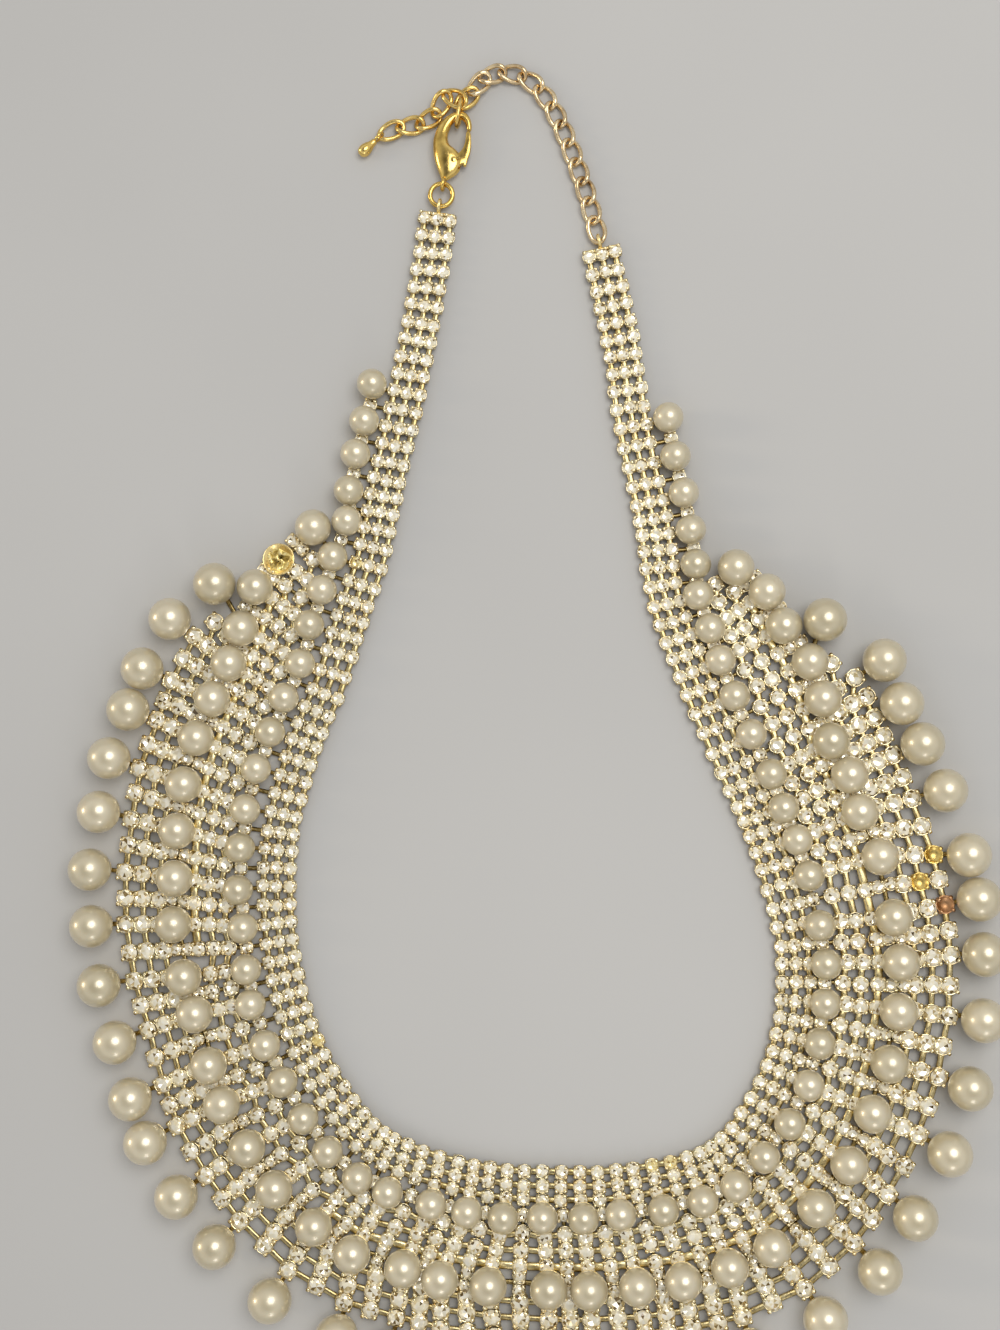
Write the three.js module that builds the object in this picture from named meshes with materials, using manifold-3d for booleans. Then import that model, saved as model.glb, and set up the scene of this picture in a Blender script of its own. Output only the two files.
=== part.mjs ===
// Bib necklace lying flat: three tiers of round pearls seated in a soldered mesh of cup
// chain, two straps, a lobster clasp on a jump ring and a curb extender chain.
// Millimetres. +Z up from the surface, +Y from the bib towards the clasp, +X to the right.
import * as THREE from 'three';
import { mergeVertices } from 'three/addons/utils/BufferGeometryUtils.js';
import Module from 'manifold-3d';

const wasm = await Module();
wasm.setup();

// ---- driving sizes ----
const PEARL_R = [2.5, 3.0, 3.5];        // tier 1 (inner), 2, 3 (outer)
const PEARL_LIFT = 0.6;                 // underside of a pearl above the surface
const PEARL_SEGMENTS = [7, 8, 8];
const POCKET_SEGMENTS = [6, 7, 8];
const THREAD_R = 0.45;                  // joins the pearls of a run
const MESH_THICK = 2.0;
const BOWL_FLOOR = 0.3;
const BOWL_HEIGHT = 1.2;
const POCKET_FLOOR_R = [1.35, 1.5, 1.6];
const PEARL_GAP = 0.3;
const SMALL_CUP = 2.2;                  // pitch of the three inner rows
const LARGE_EDGE = 0.75;                // outer edge of the large cups, share of tier 2 to 3
const ORIGIN = [-11.135, 11.348];       // middle of the whole outline, moved to 0, 0

// ---- the mesh's run: one row per station ----
// k counts tier-1 pearl places from the left strap, two mesh columns to a place.
// k, x, y of the tier-1 line, tier 1 to inner edge
const STATIONS = [
  [-5, -32.5, 94.5, 9.1],
  [-2.5, -34.7, 79.8, 9.1],
  [0, -37.5, 65.3, 9.1],
  [2.5, -40.7, 50.5, 9.0],
  [5, -43.6, 36.6, 9.0],
  [6.5, -46.6, 27.9, 9.0],
  [8, -49.2, 18.9, 8.9],
  [10, -54.1, 7.5, 9.1],
  [13, -58.7, -11.3, 9.2],
  [16, -57.9, -30.9, 9.3],
  [19, -51.4, -48.9, 8.7],
  [22, -39.2, -63.7, 8.6],
  [24.5, -24.4, -68.7, 8.1],
  [27, -9.5, -70.1, 7.9],
  [29.5, 6.3, -69.2, 7.9],
  [32, 21.4, -64.5, 7.8],
  [35, 32.7, -48.6, 7.7],
  [38, 35.8, -29.7, 7.7],
  [41, 31.6, -10.0, 7.8],
  [43.5, 26.1, 3.4, 7.9],
  [45, 22.0, 12.9, 7.9],
  [46.5, 18.8, 21.5, 8.2],
  [48, 16.4, 29.5, 8.6],
  [50.5, 14.8, 43.3, 9.1],
  [53, 11.6, 58.9, 9.1],
  [55.5, 9.5, 73.6, 9.1],
  [58, 6.5, 88.2, 9.1],
];
const STRAP_ENDS = [-5.25, 58.25];
const TIER_SPAN = [[0, 53], [5, 48], [8, 45]];   // first and last pearl place of each tier
// x, y of every place, tier by tier: the real ones are spaced unevenly
const CENTRES = [
  [
    [-37.46, 65.26], [-38.71, 59.07], [-40.14, 53.54], [-41.24, 47.44], [-41.54, 42.33], [-43.83, 36.37], [-45.59, 30.88],
    [-47.63, 25.07], [-49.11, 18.72], [-51.77, 13.06], [-53.97, 7.45], [-56.28, 1.42], [-57.99, -5.24], [-58.79, -11.53],
    [-59.08, -18.37], [-58.19, -24.52], [-57.56, -31.25], [-56.75, -36.88], [-54.31, -43.37], [-51.42, -49.17], [-47.96, -54.95],
    [-43.96, -60.16], [-39.07, -64.29], [-34.18, -66.46], [-27.19, -68.25], [-21.44, -69.35], [-15.64, -70.18], [-9.36, -70.09],
    [-2.81, -70.06], [3.1, -69.36], [9.9, -68.53], [16.09, -67.04], [21.33, -64.58], [25.85, -60.03], [29.9, -54.78],
    [32.96, -48.77], [34.78, -42.21], [35.73, -35.93], [35.95, -29.69], [35.04, -23.6], [33.42, -15.71], [31.65, -9.96],
    [29.54, -4.92], [27.64, 0.52], [24.53, 6.95], [21.93, 13.13], [19.68, 18.95], [18.09, 24.14], [16.2, 29.56],
    [15.85, 34.68], [15.11, 40.34], [14.01, 46.43], [12.7, 52.51], [11.58, 58.92],
  ],
  [
    [-47.03, 41.19], [-53.1, 36.16], [-56.65, 31.34], [-58.94, 24.52], [-60.9, 18.72], [-63.57, 12.89], [-66.21, 6.45],
    [-68.2, -1.19], [-69.18, -8.77], [-69.48, -16.51], [-69.57, -23.97], [-67.76, -32.5], [-65.85, -38.44], [-63.41, -46.62],
    [-61.2, -52.82], [-56.97, -59.66], [-52.48, -66.08], [-46.02, -71.93], [-39.82, -76.09], [-31.61, -78.2], [-25.7, -79.82],
    [-17.98, -80.67], [-8.35, -81.07], [-1.95, -81.06], [5.7, -80.38], [12.88, -79.38], [20.22, -77.15], [26.9, -73.88],
    [33.82, -67.65], [39.06, -60.93], [42.81, -52.95], [45.58, -45.16], [47.16, -37.03], [47.63, -29.31], [46.63, -22.21],
    [44.66, -12.59], [41.57, -5.54], [40.04, 0.39], [37.2, 5.81], [35.97, 12.6], [34.03, 18.6], [29.88, 24.45],
    [27.25, 29.97], [22.31, 33.95],
  ],
  [
    [-63.31, 31.87], [-70.7, 26.09], [-75.22, 17.91], [-77.49, 11.16], [-80.53, 3.15], [-82.12, -5.67], [-83.45, -15.1],
    [-83.04, -24.3], [-81.58, -33.87], [-78.78, -42.99], [-76.09, -52.02], [-73.5, -58.95], [-68.29, -67.42], [-61.98, -75.18],
    [-52.91, -83.45], [-42.08, -88.89], [-33.64, -91.22], [-25.66, -92.77], [-16.59, -93.62], [-8.55, -93.74], [-0.82, -93.56],
    [7.76, -92.82], [15.34, -91.59], [23.56, -89.75], [34.94, -84.62], [43.51, -77.1], [49.1, -68.82], [54.6, -58.91],
    [57.97, -48.77], [60.25, -38.2], [60.61, -27.89], [59.97, -19.27], [58.52, -12.3], [55.03, -2.1], [51.56, 5.32],
    [48.42, 11.78], [45.77, 18.73], [36.43, 25.32],
  ],
];
const EMPTY_PLACE = 6;                           // tier-2 bowl that has lost its pearl

// ---- smooth interpolation of the stations ----
const stationSlopes = STATIONS[0].map((_, j) => STATIONS.map((row, i) => {
  const last = STATIONS.length - 1;
  if (i === 0) return (STATIONS[1][j] - row[j]) / (STATIONS[1][0] - row[0]);
  if (i === last) return (row[j] - STATIONS[last - 1][j]) / (row[0] - STATIONS[last - 1][0]);
  const before = row[0] - STATIONS[i - 1][0];
  const after = STATIONS[i + 1][0] - row[0];
  return (after * (row[j] - STATIONS[i - 1][j]) / before
    + before * (STATIONS[i + 1][j] - row[j]) / after) / (before + after);
}));

function stationValue(k, j) {
  let i = 0;
  while (i < STATIONS.length - 2 && k >= STATIONS[i + 1][0]) i += 1;
  const h = STATIONS[i + 1][0] - STATIONS[i][0];
  const t = (k - STATIONS[i][0]) / h;
  const t2 = t * t;
  const t3 = t2 * t;
  return (2 * t3 - 3 * t2 + 1) * STATIONS[i][j] + (t3 - 2 * t2 + t) * stationSlopes[j][i] * h
    + (3 * t2 - 2 * t3) * STATIONS[i + 1][j] + (t3 - t2) * stationSlopes[j][i + 1] * h;
}

function column(k) {
  const p = new THREE.Vector2(stationValue(k, 1), stationValue(k, 2));
  const along = new THREE.Vector2(
    stationValue(k + 0.02, 1) - stationValue(k - 0.02, 1),
    stationValue(k + 0.02, 2) - stationValue(k - 0.02, 2),
  ).normalize();
  const out = new THREE.Vector2(along.y, -along.x);
  return { p, along, out, toEdge: stationValue(k, 3) };
}

// centre of a place; between two places it is midway along the line that joins them
function place(tier, k) {
  const list = CENTRES[tier];
  const i = k - TIER_SPAN[tier][0];
  const a = list[Math.floor(i)];
  const b = list[Math.ceil(i)];
  return new THREE.Vector2((a[0] + b[0]) / 2, (a[1] + b[1]) / 2);
}

const inTier = (tier, k) => k >= TIER_SPAN[tier][0] && k <= TIER_SPAN[tier][1];

// ---- solids ----
function toSolid(geometry) {
  const g = geometry.clone();
  g.deleteAttribute('normal');
  g.deleteAttribute('uv');
  const merged = mergeVertices(g, 1e-5);
  return new wasm.Manifold(new wasm.Mesh({
    numProp: 3,
    vertProperties: new Float32Array(merged.attributes.position.array),
    triVerts: new Uint32Array(merged.index.array),
  }));
}

function toGeometry(solid) {
  const mesh = solid.getMesh();
  const g = new THREE.BufferGeometry();
  g.setAttribute('position', new THREE.BufferAttribute(new Float32Array(mesh.vertProperties), 3));
  g.setIndex(new THREE.BufferAttribute(new Uint32Array(mesh.triVerts), 1));
  g.computeVertexNormals();
  return g;
}

function prism(points, depth, z) {
  const g = new THREE.ExtrudeGeometry(new THREE.Shape(points), { depth, bevelEnabled: false, steps: 1 });
  return g.translate(0, 0, z);
}

function upright(rTop, rBottom, z0, z1, segments, x, y) {
  const g = new THREE.CylinderGeometry(rTop, rBottom, z1 - z0, segments);
  return g.rotateX(Math.PI / 2).translate(x, y, (z0 + z1) / 2);
}

// ---- rhinestone mesh ----
function meshOutline() {
  const inner = [];
  const outer = [];
  const push = (list, k, reach, side = 0) => {
    const c = column(k);
    list.push(c.p.clone().addScaledVector(c.out, reach(c)).addScaledVector(c.along, side));
  };
  const innerEdge = (c) => -c.toEdge;
  const strapEdge = (c) => -c.toEdge + 3 * SMALL_CUP + 0.1;
  push(inner, STRAP_ENDS[0], innerEdge);
  for (let k = -4; k <= 57; k += 1) push(inner, k, innerEdge);
  push(inner, STRAP_ENDS[1], innerEdge);

  // a pair of points across the line from one tier's place towards the next tier's
  const across = (k, from, to, reach, halfWidth) => {
    const start = place(from, k);
    const way = place(to, k).sub(start).normalize();
    const side = new THREE.Vector2(-way.y, way.x);
    const at = reach < 0 ? place(to, k).addScaledVector(way, reach) : start.addScaledVector(way, reach);
    outer.push(at.clone().addScaledVector(side, halfWidth), at.clone().addScaledVector(side, -halfWidth));
  };
  push(outer, STRAP_ENDS[0], strapEdge);
  push(outer, -2.5, strapEdge);
  push(outer, -0.4, strapEdge);
  for (let k = 0; k <= 53; k += 1) {
    // an arm under each border pearl, then the edge of the plain column after it
    if (inTier(2, k)) across(k, 1, 2, -1.2, -1.1);
    else if (inTier(1, k)) across(k, 0, 1, -0.6, -1.1);
    else {
      push(outer, k, () => -0.6, -1.1);
      push(outer, k, () => -0.6, 1.1);
    }
    if (k === 53) break;
    if (inTier(2, k) && inTier(2, k + 1)) {
      const gap = place(2, k + 0.5).distanceTo(place(1, k + 0.5));
      across(k + 0.5, 1, 2, LARGE_EDGE * gap, -1.5);
    } else if (inTier(1, k) && inTier(1, k + 1)) {
      const gap = place(1, k + 0.5).distanceTo(place(0, k + 0.5));
      across(k + 0.5, 0, 1, gap + 0.4, -1.0);
    } else {
      push(outer, k + 0.5, () => 0.6, -1.0);
      push(outer, k + 0.5, () => 0.6, 1.0);
    }
  }
  push(outer, 53.4, strapEdge);
  push(outer, 55.5, strapEdge);
  push(outer, STRAP_ENDS[1], strapEdge);
  return inner.concat(outer.reverse());
}

// A vertical ring standing on the surface in the plane of `along` and +Z.
const LOOP_R = 0.95;
const LOOP_WIRE = 0.3;
const LOOP_Z = 1.3;
function loopRing(centre, along, radius, wire, z) {
  const g = new THREE.TorusGeometry(radius, wire, 6, 10);
  g.rotateX(Math.PI / 2);
  g.rotateZ(Math.atan2(along.y, along.x));
  return g.translate(centre.x, centre.y, z);
}

function strapLoopCentre(end) {
  const k = end === 0 ? -5 : 58;
  const c = column(k);
  const away = end === 0 ? -1 : 1;
  return c.p.clone().addScaledVector(c.out, -c.toEdge + 1.5 * SMALL_CUP)
    .addScaledVector(c.along, away * 2.3);
}

function rhinestoneMesh() {
  let solid = toSolid(prism(meshOutline(), MESH_THICK, 0));
  const bowlTop = [2.5, 2.7, 2.9];
  const bowlBottom = [1.6, 1.8, 2.0];
  for (let tier = 0; tier < 3; tier += 1) {
    for (let k = TIER_SPAN[tier][0]; k <= TIER_SPAN[tier][1]; k += 1) {
      const border = tier === 2 || (tier === 1 && !inTier(2, k)) || (tier === 0 && !inTier(1, k));
      if (!border) continue;
      const at = place(tier, k);
      solid = solid.add(toSolid(upright(bowlTop[tier], bowlBottom[tier], 0, BOWL_HEIGHT,
        POCKET_SEGMENTS[tier], at.x, at.y)));
    }
  }
  for (let tier = 0; tier < 3; tier += 1) {
    const r = PEARL_R[tier];
    const n = POCKET_SEGMENTS[tier];
    const open = 1 / Math.cos(Math.PI / n);
    const z1 = MESH_THICK + 0.2;
    const rTop = Math.sqrt(r * r - (r + PEARL_LIFT - MESH_THICK) ** 2) + PEARL_GAP;
    const slope = (rTop - POCKET_FLOOR_R[tier]) / (MESH_THICK - BOWL_FLOOR);
    for (let k = TIER_SPAN[tier][0]; k <= TIER_SPAN[tier][1]; k += 1) {
      const at = place(tier, k);
      solid = solid.subtract(toSolid(upright((rTop + slope * 0.2) * open, POCKET_FLOOR_R[tier] * open,
        BOWL_FLOOR, z1, n, at.x, at.y)));
    }
  }
  for (const end of [0, 1]) {
    const c = column(end === 0 ? -5 : 58);
    solid = solid.add(toSolid(loopRing(strapLoopCentre(end), c.along, LOOP_R, LOOP_WIRE, LOOP_Z)));
  }
  return toGeometry(solid);
}

// ---- pearls, joined in runs along their thread ----
function pearlRun(tier, from, to) {
  const r = PEARL_R[tier];
  const z = r + PEARL_LIFT;
  let solid = null;
  let previous = null;
  for (let k = from; k <= to; k += 1) {
    if (tier === 1 && k === EMPTY_PLACE) continue;
    const at = place(tier, k);
    const here = new THREE.Vector3(at.x, at.y, z);
    const ball = new THREE.SphereGeometry(r, PEARL_SEGMENTS[tier], 4);
    ball.rotateX(Math.PI / 2).translate(here.x, here.y, here.z);
    solid = solid ? solid.add(toSolid(ball)) : toSolid(ball);
    if (previous) {
      const rod = new THREE.CylinderGeometry(THREAD_R, THREAD_R, previous.distanceTo(here), 3);
      rod.applyQuaternion(new THREE.Quaternion().setFromUnitVectors(
        new THREE.Vector3(0, 1, 0), here.clone().sub(previous).normalize()));
      const mid = here.clone().add(previous).multiplyScalar(0.5);
      rod.translate(mid.x, mid.y, mid.z);
      solid = solid.add(toSolid(rod));
    }
    previous = here;
  }
  return toGeometry(solid);
}

// ---- rings and links ----
const LINK_WIRE = 0.65;
const LINK_A = 2.25;                    // half length and half width of the wire's centre line
const LINK_B = 1.27;
const LINK_TWIST = 0.56;                // a curb link's wire rises and falls by this much

function linkGeometry(a, b, wire, twist, around = 10) {
  const g = new THREE.TorusGeometry(1, wire / 2, 5, around);
  const pos = g.attributes.position;
  const tangent = new THREE.Vector3();
  const up = new THREE.Vector3();
  const outward = new THREE.Vector3();
  for (let i = 0; i < pos.count; i += 1) {
    const x = pos.getX(i);
    const y = pos.getY(i);
    const lift = pos.getZ(i);
    const t = Math.atan2(y, x);
    const off = Math.hypot(x, y) - 1;
    tangent.set(-a * Math.sin(t), b * Math.cos(t), 2 * twist * Math.cos(2 * t)).normalize();
    up.set(0, 0, 1).addScaledVector(tangent, -tangent.z).normalize();
    outward.crossVectors(tangent, up);
    pos.setXYZ(i,
      a * Math.cos(t) + outward.x * off + up.x * lift,
      b * Math.sin(t) + outward.y * off + up.y * lift,
      twist * Math.sin(2 * t) + outward.z * off + up.z * lift);
  }
  g.deleteAttribute('normal');
  g.deleteAttribute('uv');
  const merged = mergeVertices(g, 1e-5);
  merged.computeVertexNormals();
  return merged;
}

// ---- clasp, in its own frame: eye centre at 0, 0, hook end towards +Y ----
const CLASP_AT = [-25.75, 99.55, 1.6];
const CLASP_TURN = -10.8;               // deg about +Z
const HOOK_HALF = 0.6;                  // half thickness of the hook
const BODY_HALF = 1.3;                  // half thickness of the body's two cheeks
const SLOT_HALF = 0.72;
const LEVER_HALF = 0.5;
const PIVOT = [1.7, 4.4];
const PIN_R = 0.35;
const LEVER_BORE_R = 0.6;

const HOOK_OUTLINE = [
  [-0.55, 0.8], [-1.5, 2.4], [-2.6, 4.6], [-3.1, 7.2], [-2.6, 9.7], [-1.3, 11.8], [0.4, 12.8],
  [1.9, 12.3], [2.8, 11.0], [2.95, 9.75], [2.15, 9.6], [1.8, 10.6], [1.0, 11.4], [0.1, 11.3],
  [-0.6, 10.3], [-0.85, 8.6], [-0.5, 7.0], [0.4, 6.3], [1.5, 5.9], [2.3, 5.0], [2.6, 3.6],
  [1.9, 1.9], [0.55, 0.8],
];
const CHEEK_OUTLINE = [
  [-0.45, 0.9], [-1.3, 2.4], [-2.3, 4.6], [-2.8, 7.2], [-2.3, 9.3], [-1.3, 10.2],
  [-1.15, 8.6], [-0.8, 6.9], [0.2, 6.1], [1.4, 5.8], [2.2, 5.0], [2.5, 3.6], [1.8, 1.9], [0.45, 0.9],
];
const LEVER_OUTLINE = [
  [2.15, 9.3], [2.9, 9.35], [3.25, 8.2], [3.45, 6.9], [3.5, 5.9], [3.3, 4.8], [3.25, 3.6],
  [2.9, 3.5], [2.4, 3.7], [1.9, 3.4], [1.2, 3.55], [0.8, 4.2], [0.95, 5.0], [1.6, 5.6],
  [2.1, 6.4], [2.3, 7.6],
];
const toPoints = (list) => list.map(([x, y]) => new THREE.Vector2(x, y)).reverse();

function claspBody() {
  let solid = toSolid(prism(toPoints(HOOK_OUTLINE), 2 * HOOK_HALF, -HOOK_HALF));
  solid = solid.add(toSolid(prism(toPoints(CHEEK_OUTLINE), 2 * BODY_HALF, -BODY_HALF)));
  const slot = new THREE.BoxGeometry(4, 4.4, 2 * SLOT_HALF);
  slot.translate(2.4, 5.0, 0);
  solid = solid.subtract(toSolid(slot));
  solid = solid.add(toSolid(upright(PIN_R, PIN_R, -BODY_HALF + 0.1, BODY_HALF - 0.1, 8, ...PIVOT)));
  const eye = new THREE.TorusGeometry(0.95, 0.32, 6, 10);
  eye.rotateY(Math.PI / 2);
  solid = solid.add(toSolid(eye));
  return toGeometry(solid);
}

function claspLever() {
  const shape = new THREE.Shape(toPoints(LEVER_OUTLINE));
  const bore = new THREE.Path();
  for (let i = 0; i < 8; i += 1) {
    const a = (i / 8) * 2 * Math.PI;
    const x = PIVOT[0] + LEVER_BORE_R * Math.cos(a);
    const y = PIVOT[1] + LEVER_BORE_R * Math.sin(a);
    if (i === 0) bore.moveTo(x, y); else bore.lineTo(x, y);
  }
  bore.closePath();
  shape.holes.push(bore);
  return new THREE.ExtrudeGeometry(shape, { depth: 2 * LEVER_HALF, bevelEnabled: false })
    .translate(0, 0, -LEVER_HALF);
}

// ---- materials ----
const gold = (color, roughness) => new THREE.MeshStandardMaterial({ color, roughness, metalness: 1 });
const paleGold = () => new THREE.MeshStandardMaterial({ color: 0xe8dcc0, roughness: 0.3, metalness: 0.7 });
const pearl = (color) => new THREE.MeshStandardMaterial({ color, roughness: 0.25, metalness: 0.05 });

const necklace = new THREE.Group();
necklace.position.set(-ORIGIN[0], -ORIGIN[1], 0);

function addMesh(name, geometry, material, parent = necklace) {
  const mesh = new THREE.Mesh(geometry, material);
  mesh.name = name;
  parent.add(mesh);
  return mesh;
}

addMesh('rhinestone_mesh', rhinestoneMesh(), paleGold());

const RUNS = [
  ['pearls_tier1_left', 0, 0, 21, 0xefe4d6], ['pearls_tier1_bottom', 0, 22, 32, 0xeadfd2],
  ['pearls_tier1_right', 0, 33, 53, 0xefe4d6],
  ['pearl_tier2_first', 1, 5, 5, 0xeee2d4], ['pearls_tier2_left', 1, 7, 21, 0xeee2d4],
  ['pearls_tier2_bottom', 1, 22, 32, 0xeadfd2], ['pearls_tier2_right', 1, 33, 48, 0xeee2d4],
  ['pearls_tier3_left', 2, 8, 21, 0xede0d2], ['pearls_tier3_bottom', 2, 22, 31, 0xe9dccf],
  ['pearls_tier3_right', 2, 32, 45, 0xede0d2],
];
for (const [name, tier, from, to, color] of RUNS) addMesh(name, pearlRun(tier, from, to), pearl(color));

// jump ring, flat, through the left strap's loop and the clasp's eye
const RING_R = 1.9;
const RING_WIRE = 0.8;
{
  const low = strapLoopCentre(0);
  const high = new THREE.Vector2(CLASP_AT[0], CLASP_AT[1]);
  const mid = low.clone().add(high).multiplyScalar(0.5);
  const ring = addMesh('jump_ring', linkGeometry(RING_R, RING_R, RING_WIRE, 0, 12), gold(0xd9b24c, 0.25));
  ring.position.set(mid.x, mid.y, (LOOP_Z + CLASP_AT[2]) / 2);
  ring.rotation.order = 'ZYX';
  ring.rotation.z = Math.atan2(high.y - low.y, high.x - low.x);
  ring.rotation.y = -Math.asin((CLASP_AT[2] - LOOP_Z) / (2 * RING_R));
}

const clasp = new THREE.Group();
clasp.position.set(...CLASP_AT);
clasp.rotation.z = THREE.MathUtils.degToRad(CLASP_TURN);
necklace.add(clasp);
addMesh('clasp_body', claspBody(), gold(0xd8a838, 0.25), clasp);
addMesh('clasp_lever', claspLever(), gold(0xdfb650, 0.22), clasp);

// Extender chain: x, y, z of each link's centre, heading, pitch and roll (deg) and twist,
// from the right strap to the link on the hook (14), then the free tail to the end drop.
const HOOKED_LINK = 14;
const LINKS = [
  [-0.05, 91.31, 1.12, 104, 4, 0, 0.3],
  [-0.90, 94.69, 0.95, 104, 1, 0],
  [-1.85, 98.10, 0.91, 107, 0, 0],
  [-2.95, 101.45, 0.91, 108, 0, 0],
  [-4.10, 104.80, 0.91, 109, 0, 0],
  [-5.35, 108.10, 0.91, 111, 0, 0],
  [-6.80, 111.35, 0.91, 115, 0, 0],
  [-8.61, 114.47, 0.91, 125, 0, 0],
  [-11.00, 117.14, 0.92, 143, 0, 0],
  [-14.14, 118.64, 0.91, 168, 0, 0],
  [-17.54, 118.45, 1.00, 198, 0, 1],
  [-19.81, 116.84, 1.10, 225, 2, 1],
  [-21.82, 114.40, 1.06, 223, -1, -3, 0.3],
  [-23.02, 111.70, 1.78, 79.2, 0, 90, 0],
  [-23.79, 114.21, 1.99, 146, 13, 1, 0.3],
  [-26.16, 113.42, 1.44, 237, 16, -6],
  [-28.36, 111.00, 0.92, 212, 0, -1],
  [-31.45, 110.00, 0.92, 188, 0, 0],
  [-34.68, 109.20, 0.98, 208, -3, 0, 0.25],
];
LINKS.forEach(([x, y, z, heading, pitch, roll, twist = LINK_TWIST], i) => {
  const link = addMesh(`chain_link_${String(i + 1).padStart(2, '0')}`,
    i + 1 === HOOKED_LINK ? linkGeometry(LINK_A + 0.1, LINK_B + 0.18, LINK_WIRE, 0)
      : linkGeometry(LINK_A, LINK_B, LINK_WIRE, twist), gold(0xd4b068, 0.3));
  link.position.set(x, y, z);
  link.rotation.order = 'ZYX';
  link.rotation.z = THREE.MathUtils.degToRad(heading);
  link.rotation.y = THREE.MathUtils.degToRad(pitch);
  link.rotation.x = THREE.MathUtils.degToRad(roll);
});

// end drop: a small eye and an elongated solid drop, lying on the surface
const DROP_AT = [-36.72, 108.1, 1.15];
const DROP_HEADING = 222;
{
  const eye = new THREE.TorusGeometry(0.88, 0.22, 6, 10);
  eye.rotateX(Math.PI / 2);
  const profile = [[0, 0.8], [0.45, 0.95], [0.5, 1.5], [0.85, 2.4], [0.98, 3.2], [0.85, 3.9], [0.45, 4.35], [0, 4.45]];
  const body = new THREE.LatheGeometry(profile.map(([r, t]) => new THREE.Vector2(r, t)), 8);
  body.rotateZ(-Math.PI / 2);
  const drop = addMesh('end_drop', toGeometry(toSolid(eye).add(toSolid(body))), gold(0xd9b868, 0.25));
  drop.position.set(...DROP_AT);
  drop.rotation.z = THREE.MathUtils.degToRad(DROP_HEADING);
}

export default necklace;
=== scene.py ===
import math

import bpy
import bmesh
import numpy as np
from mathutils import Matrix, Vector


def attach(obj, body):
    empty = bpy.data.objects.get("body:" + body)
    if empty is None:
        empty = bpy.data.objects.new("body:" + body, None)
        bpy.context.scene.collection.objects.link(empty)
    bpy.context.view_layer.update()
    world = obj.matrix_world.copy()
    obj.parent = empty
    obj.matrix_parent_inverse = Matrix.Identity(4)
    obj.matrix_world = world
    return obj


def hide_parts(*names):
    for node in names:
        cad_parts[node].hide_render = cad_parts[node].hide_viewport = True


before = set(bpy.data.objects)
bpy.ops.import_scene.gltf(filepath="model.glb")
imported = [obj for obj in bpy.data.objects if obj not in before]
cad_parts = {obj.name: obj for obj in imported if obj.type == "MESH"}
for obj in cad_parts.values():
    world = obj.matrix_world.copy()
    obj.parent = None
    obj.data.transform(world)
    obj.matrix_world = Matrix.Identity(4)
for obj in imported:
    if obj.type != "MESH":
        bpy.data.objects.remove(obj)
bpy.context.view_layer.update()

MM = 0.001
SHIFT = np.array([11.135, -11.348, 0.0])      # drawing coordinates to the row frame, mm
rng = np.random.default_rng(20240607)

# ---------------------------------------------------------------- the run of the mesh
# k, x, y of the tier-1 line, tier 1 to inner edge
STATIONS = np.array([
    [-5, -32.5, 94.5, 9.1], [-2.5, -34.7, 79.8, 9.1], [0, -37.5, 65.3, 9.1], [2.5, -40.7, 50.5, 9.0],
    [5, -43.6, 36.6, 9.0], [6.5, -46.6, 27.9, 9.0], [8, -49.2, 18.9, 8.9], [10, -54.1, 7.5, 9.1],
    [13, -58.7, -11.3, 9.2], [16, -57.9, -30.9, 9.3], [19, -51.4, -48.9, 8.7], [22, -39.2, -63.7, 8.6],
    [24.5, -24.4, -68.7, 8.1], [27, -9.5, -70.1, 7.9], [29.5, 6.3, -69.2, 7.9], [32, 21.4, -64.5, 7.8],
    [35, 32.7, -48.6, 7.7], [38, 35.8, -29.7, 7.7], [41, 31.6, -10.0, 7.8], [43.5, 26.1, 3.4, 7.9],
    [45, 22.0, 12.9, 7.9], [46.5, 18.8, 21.5, 8.2], [48, 16.4, 29.5, 8.6], [50.5, 14.8, 43.3, 9.1],
    [53, 11.6, 58.9, 9.1], [55.5, 9.5, 73.6, 9.1], [58, 6.5, 88.2, 9.1]], float)
KS = STATIONS[:, 0]
SLOPES = np.zeros_like(STATIONS)
for i in range(1, len(KS) - 1):
    h0, h1 = KS[i] - KS[i - 1], KS[i + 1] - KS[i]
    SLOPES[i] = (h1 * (STATIONS[i] - STATIONS[i - 1]) / h0
                 + h0 * (STATIONS[i + 1] - STATIONS[i]) / h1) / (h0 + h1)
SLOPES[0] = (STATIONS[1] - STATIONS[0]) / (KS[1] - KS[0])
SLOPES[-1] = (STATIONS[-1] - STATIONS[-2]) / (KS[-1] - KS[-2])


def station(k, j):
    i = int(np.clip(np.searchsorted(KS, k, "right") - 1, 0, len(KS) - 2))
    h = KS[i + 1] - KS[i]
    t = (k - KS[i]) / h
    return ((2 * t ** 3 - 3 * t ** 2 + 1) * STATIONS[i, j] + (t ** 3 - 2 * t ** 2 + t) * SLOPES[i, j] * h
            + (3 * t ** 2 - 2 * t ** 3) * STATIONS[i + 1, j] + (t ** 3 - t ** 2) * SLOPES[i + 1, j] * h)


TIER_SPAN = ((0, 53), (5, 48), (8, 45))
EMPTY = 6
PEARL_R = (2.5, 3.0, 3.5)
LIFT = 0.6
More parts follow.
